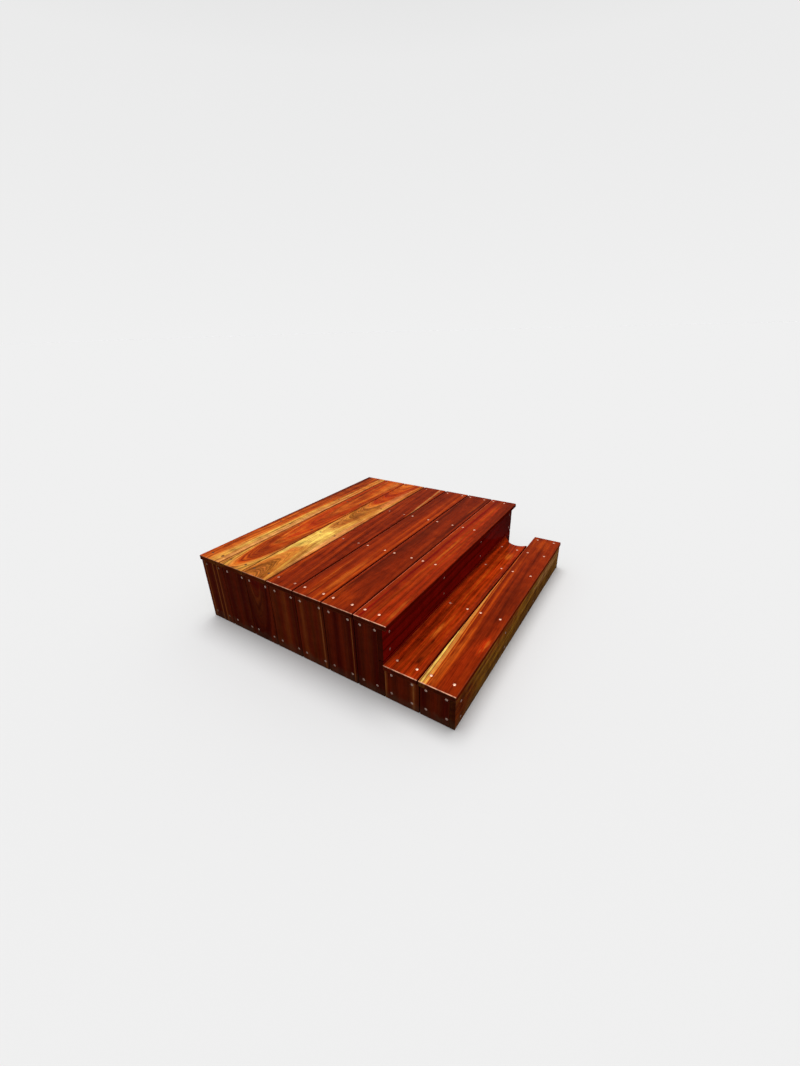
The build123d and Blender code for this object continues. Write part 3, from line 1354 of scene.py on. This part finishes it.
# The olive and khaki are partly the wood's own colour and partly a painted reflection of green
# ground in front of the step
OLIVE = Figure(
    "30 OLIVE 46 KHAKI 60 OLIVE 72 KHAKI 90 OLIVE 110 KHAKI 134 OLIVE",
    "10 0 420 190 CLARET .85; 1010 30 600 80 SAND .7; 420 40 600 50 RUST .35",
    pith_across=80, drift=60, pith_below=30, waviness=3.0, streaks=1.8,
)
STRIPED = Figure(
    "30 SEPIA 45 EARTH 48.5 UMBER 51 DUN 54 UMBER 60 SEPIA 76 MAROON 92 SEPIA 95 UMBER 98.5 DUN "
    "102 UMBER 108 SEPIA 114 MAROON 119 UMBER 123 DUN 126 RUSSET 131 UMBER 139 SEPIA 156 EARTH",
    pith_across=-90, pith_below=30, waviness=1.4, streaks=0.7,
)
DUSKY = Figure(
    "40 SEPIA 56 MAROON 72 SEPIA 92 EARTH 108 SEPIA 128 MAROON 150 SEPIA",
    pith_across=-84, pith_below=36, waviness=2.6, streaks=0.7,
)
# The garnet patch near the top is a painted reddish reflection
PEAKED = Figure(
    "26 SEPIA 38 EARTH 48 SEPIA 53 EARTH 56 RUSSET 59 SEPIA 62 UMBER 66 SEPIA 78 MAROON 92 EARTH "
    "112 SEPIA",
    "268 0 60 120 GARNET .7",
    pith_across=-14, pith_below=75, fall=-110, waviness=3.2, line_strength=0.5, streaks=0.75,
)
BROWN = Figure(
    "40 EARTH 58 UMBER 72 EARTH 92 RUSSET 112 EARTH 124 SEPIA 130 UMBER 136 MAROON 150 SEPIA",
    pith_across=-70, pith_below=50, waviness=2.6, streaks=0.7,
)
AMBER_EDGE = Figure(
    "40 EARTH 58 RUSSET 80 EARTH 100 UMBER 120 EARTH 138 UMBER 143 RUSSET 147 DUN 150 UMBER "
    "156 SEPIA",
    pith_across=-88, pith_below=30, waviness=1.8, streaks=0.7,
)
PALE_SEAM = Figure(
    "40 SEPIA 60 EARTH 84 MAROON 104 EARTH 124 SEPIA 142 MAROON 147.5 UMBER 149.5 DUN 151 RUSSET "
    "154 MAROON",
    pith_across=-90, pith_below=28, waviness=1.2, streaks=0.7,
)
BOTH_EDGES = Figure(
    "20 RUSSET 28 DUN 33 RUSSET 40 EARTH 60 SEPIA 90 EARTH 120 SEPIA 131 RUSSET 137 DUN "
    "142 RUSSET 148 UMBER 154 SEPIA",
    pith_across=-88, pith_below=12, waviness=1.2, streaks=0.75,
)


# Sub-assemblies


@dataclass
class Boarding:
    """A run of boards that show the same side."""

    face: Face
    slot: str
    boards: list[Board] = field(default_factory=list)

    def add(self, node: str, *traits: object, **others: object) -> None:
        """Describe one more board, by its name and what comes after the slot in Board."""
        self.boards.append(Board(node, self.face, self.slot, *traits, **others))


@dataclass
class Decking(Boarding):
    """Seven boards of the upper deck, from the door wall to the nosing."""

    face: Face = Face.TOP
    slot: str = "decking"
    rows: tuple[float, ...] = (45.0, 432.0, 804.0, 1185.0)

    def lay_out(self) -> None:
        """Describe each board with its screws, its steel and the painted highlights and shade at
        its edges.
        """
        # The darkest and the dimmer steel paint dim reflections in the heads nearest the door wall
        oily, dull, bright = (OILY_STEEL, 0.5 * MM), (DULL_STEEL, 0.2 * MM), (Stainless(), 0.0)
        back, none = Sawn.BACK, Sawn.NONE
        # The last four numbers of a row: painted near-end highlight, back-arris highlight,
        # front-arris shade and narrow-side shade
        for figure, marks, sawn, steel, rubbed in (
            (HEART_AND_GOLD, (-33.0, 31.0), back, oily, (0.15, 0.0, 0.3, 0.6)),
            (LONG_OVAL, (-48.0, 41.0), none, oily, (0.15, 0.2, 0.0, 0.2)),
            (SAPWOOD, (-45.0, 40.0), none, oily, (0.3, 0.3, 0.6, 0.8)),
            (DEEP_RED, (-47.0, 41.0), none, dull, (0.6, 0.4, 0.9, 1.0)),
            (RED_AND_AMBER, (-48.0, 42.0), none, bright, (0.5, 0.45, 0.9, 1.0)),
            (SMOKY, (-49.0, 34.0), none, bright, (0.6, 0.5, 0.9, 1.0)),
            (FLAME, (-49.0, 10.0), back, bright, (0.95, 0.55, 0.6, 0.7)),
        ):
            node = f"deck_board_{len(self.boards) + 1}"
            self.add(node, figure, pairs(node, self.rows, *marks), sawn, *steel, *rubbed)


@dataclass
class Step(Boarding):
    """Two treads, the back one cut round the downpipe."""

    face: Face = Face.TOP
    slot: str = "tread"
    rows: tuple[float, ...] = (47.0, 440.0, 807.0, 1020.0)
    end_row: float = 1184.0
    pipe_centre: Span = (519.0 * MM, -418.0 * MM)
    cut_radius: float = 58.0 * MM
    cut_sides: int = 144
    leaves_at: float = 125.0
    runs_at: float = 35.0
    reach: float = 0.25

    def downpipe_cut(self, tread: Board) -> Piece:
        """Cutter of the cut: round at its near end, then off to the riser on a tangent.

        Args:
            tread: The board that it is cut from.

        Returns:
            The cutter.
        """
        centre = Vector((*self.pipe_centre, tread.middle.z))
        deselect()
        bpy.ops.mesh.primitive_cylinder_add(
            vertices=self.cut_sides, radius=self.cut_radius, depth=3 * (tread.high.z - tread.low.z),
            location=centre,
        )
        cutter = newly_made()
        lean = math.radians(self.runs_at)
        run, right = Vector((math.cos(lean), math.sin(lean), 0)), Vector((1, 0, 0))
        for start, end, way in (
            (self.runs_at, self.leaves_at + 0.5, run), (-90.5, self.runs_at, right)
        ):

            def is_pushed(spot: bmesh.types.BMVert) -> bool:
                """Whether it lies on the arc that moves this way."""
                out = spot.co - centre
                turned = (math.degrees(math.atan2(out.y, out.x)) - start) % 360
                return turned < end - start and out.xy.length < self.cut_radius * 1.01

            with editing(cutter, "VERT") as mesh:
                pick(cutter, mesh.verts, is_pushed)
                bpy.ops.transform.translate(value=way * self.reach)
        return cutter

    def lay_out(self) -> None:
        """Describe both treads."""
        back, front = "tread_board_1", "tread_board_2"
        screws = pairs(back, self.rows, -40.0, 39.5)
        # Painted highlights and painted shade at the treads' edges
        self.add(back, SCARLET, screws, Sawn.BACK, gleam_end=0.95, seam_deep=1.0)
        screws = pairs(front, (*self.rows, self.end_row), -43.0, 37.0)
        self.add(front, GOLD_EDGE, screws, gleam_end=1.0, seam_light=0.4, flank=0.0)


@dataclass
class Risers(Boarding):
    """Boards on edge along the front of the deck and of the step."""

    face: Face = Face.FRONT
    slot: str = "riser"
    rows: tuple[float, ...] = (42.0, 432.0, 800.0, 1180.0)
    step_rows: tuple[float, ...] = (45.0, 436.0, 802.0, 1180.0)

    def lay_out(self) -> None:
        """Describe the three risers."""
        for node, figure, rows, marks, sawn in (
            ("upper_riser", WINE, self.rows, (30.0, -42.0), Sawn.NONE),
            ("lower_riser", WINE, (), (), Sawn.NONE),
            ("step_riser", OLIVE, self.step_rows, (26.0, -44.0), Sawn.BOTTOM),
        ):
            self.add(node, figure, pairs(node, rows, *marks), sawn, SHADED_STEEL)


@dataclass
class Cladding(Boarding):
    """Upright boards that close the free left end."""

    face: Face = Face.LEFT
    slot: str = "cladding"
    rows: tuple[float, ...] = (272.0, 34.0)
    step_rows: tuple[float, ...] = (111.0, 30.0)

    def lay_out(self) -> None:
        """Describe the seven deck boards and the two step boards."""
        none, front = Sawn.NONE, Sawn.FRONT
        for node, figure, first, second, sawn in (
            ("side_board_1", STRIPED, -40.0, 42.0, none),
            ("side_board_2", DUSKY, -41.0, 52.0, none),
            ("side_board_3", PEAKED, -43.0, 49.0, none),
            ("side_board_4", BROWN, -38.0, 50.0, none),
            ("side_board_5", AMBER_EDGE, -42.0, 51.0, none),
            ("side_board_6", PALE_SEAM, -41.0, 42.0, none),
            ("side_board_7", DUSKY, -24.0, 36.0, front),
            ("step_side_board_1", BOTH_EDGES, -40.0, 41.0, none),
            ("step_side_board_2", DUSKY, -31.0, 43.0, front),
        ):
            rows = self.step_rows if node.startswith("step") else self.rows
            # The darkest steel paints the first side board's dim heads; the others get the shaded
            # steel's painted shade
            steel = OILY_STEEL if node == "side_board_1" else SHADED_STEEL
            self.add(node, figure, pairs(node, rows, first, second), sawn, steel)


@dataclass
class Framing:
    """Softwood framing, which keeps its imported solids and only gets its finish."""

    stems: tuple[tuple[str, ...], ...] = (
        ("back_rim_joist", "step_plate"), ("joist", "step_joist", "sleeper"),
        ("back_post", "front_post"),
    )

    def dress(self, finish: TreatedSoftwood) -> None:
        """Give every framing timber its own grain, along the axis that its name stands for.

        Args:
            finish: The softwood finish.
        """
        for node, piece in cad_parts.items():
            for axis, stems in enumerate(self.stems):
                if node.startswith(stems):
                    piece.data.materials.clear()
                    piece.data.materials.append(finish.material(node, axis))
                    log.info("%s: treated softwood", node)


# Studio


def seen(graph: Graph) -> Signal:
    """Whether a ray comes from the camera, straight or by way of metal or glass.

    Args:
        graph: The graph that asks.

    Returns:
        One for such a ray and nought for any other.
    """
    rays = graph.add("LightPath")
    straight = graph.maths("MAXIMUM", rays["Is Camera Ray"], rays["Is Glossy Ray"])
    return graph.maths("MAXIMUM", straight, rays["Is Transmission Ray"])


def grey(level: float) -> Colour:
    """A grey of this level."""
    return (level, level, level, 1.0)


@dataclass
class Studio:
    """Pale floor, soft light from above and the camera at the photograph's place.

    light and backdrop pair the sine of the elevation with a grey level.
    """

    light: Pairs = ((0.0, 0.22), (0.35, 0.34), (1.0, 0.62))
    backdrop: Pairs = (
        (0.0, 0.87), (0.38, 0.83), (0.50, 0.76), (0.59, 0.50), (0.70, 0.14), (0.86, 0.14),
        (1.0, 0.6),
    )
    floor_side: float = 400.0
    floor_tone: float = 0.80
    bounce_tone: float = 0.30
    sun_irradiance: float = 1.95
    sun_spread: float = 38.0
    sun_lean: Triple = (-7.0, 8.0, 0.0)
    camera_place: Triple = (-1.49681, -1.00706, 1.15400)
    camera_right: Triple = (0.54090, -0.84069, -0.02576)
    camera_up: Triple = (0.37099, 0.21098, 0.90435)
    lens: float = 14.637
    sensor: float = 36.0
    clip: Span = (0.05, 300.0)

    def world(self) -> None:
        """Light of the surroundings, brighter overhead, in front of a pale backdrop."""
        world = bpy.data.worlds.new("studio")
        bpy.context.scene.world = world
        world.use_nodes = True
        graph = Graph(world.node_tree)
        level = graph.add("TexCoord")["Generated"].parts()[2]
        both = [
            graph.add("Background", graph.ramp(level, [(at, grey(tone)) for at, tone in stops]))
            for stops in (self.light, self.backdrop)
        ]
        lit, shown = (made["Background"] for made in both)
        graph.make("OutputWorld", graph.add("MixShader", seen(graph), lit, shown)["Shader"])

    def floor(self) -> None:
        """Pale floor that throws little light back onto the object's sides."""
        deselect()
        bpy.ops.mesh.primitive_plane_add(size=self.floor_side, location=(0.0, 0.0, 0.0))
        floor = bpy.context.active_object
        floor.name = "studio_floor"
        graph = MaterialGraph("studio_floor")
        tone = graph.mix(seen(graph), grey(self.bounce_tone), grey(self.floor_tone))
        floor.data.materials.append(
            graph.close(Base_Color=tone, Roughness=0.9, Specular_IOR_Level=0.0)
        )

    def sun(self) -> None:
        """One broad soft light, a little behind and to the right of overhead."""
        deselect()
        bpy.ops.object.light_add(type="SUN", location=(0.0, 0.0, 3.0))
        lamp = bpy.context.active_object
        lamp.name = "soft_overhead"
        lamp.data.energy = self.sun_irradiance
        lamp.data.angle = math.radians(self.sun_spread)
        lamp.rotation_euler = [math.radians(lean) for lean in self.sun_lean]

    def camera(self) -> None:
        """Camera at the photograph's place, turned level with its frame."""
        deselect()
        bpy.ops.object.camera_add(location=self.camera_place)
        camera = bpy.context.active_object
        camera.name = "viewpoint"
        right = Vector(self.camera_right).normalized()
        up = Vector(self.camera_up)
        up = (up - right * right.dot(up)).normalized()
        turn = Matrix((right, up, right.cross(up))).transposed()
        camera.rotation_euler = turn.to_euler()
        camera.data.sensor_width, camera.data.lens = self.sensor, self.lens
        camera.data.clip_start, camera.data.clip_end = self.clip
        bpy.context.scene.camera = camera

    def build(self) -> None:
        """Set the whole studio up."""
        bpy.context.scene.view_settings.view_transform = "Standard"
        self.world()
        self.floor()
        self.sun()
        self.camera()
        log.info("studio: floor, light and camera")


def main() -> None:
    """Build every sub-assembly in order."""
    logging.basicConfig(level=logging.INFO, format="%(name)s: %(message)s")
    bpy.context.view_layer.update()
    ShaderShelf().build()
    screw = ScrewHead()
    screw.model()
    step = Step()
    for group, finish in (
        (Decking(), OiledHardwood()),
        (step, OiledHardwood()),
        (Risers(), OiledHardwood(oil=0.015, arris_share=0.0, splash=0.5)),
        (Cladding(), OiledHardwood(polish=0.36, oil=0.015, arris_share=0.06, splash=0.6)),
    ):
        group.lay_out()
        for board in group.boards:
            is_cut = board.node == "tread_board_1"
            cutter = step.downpipe_cut(board) if is_cut else None
            board.build(finish, screw, cutter)
    screw.put_away()
    Framing().dress(TreatedSoftwood())
    Studio().build()
    deselect()


if __name__ == "__main__":
    main()
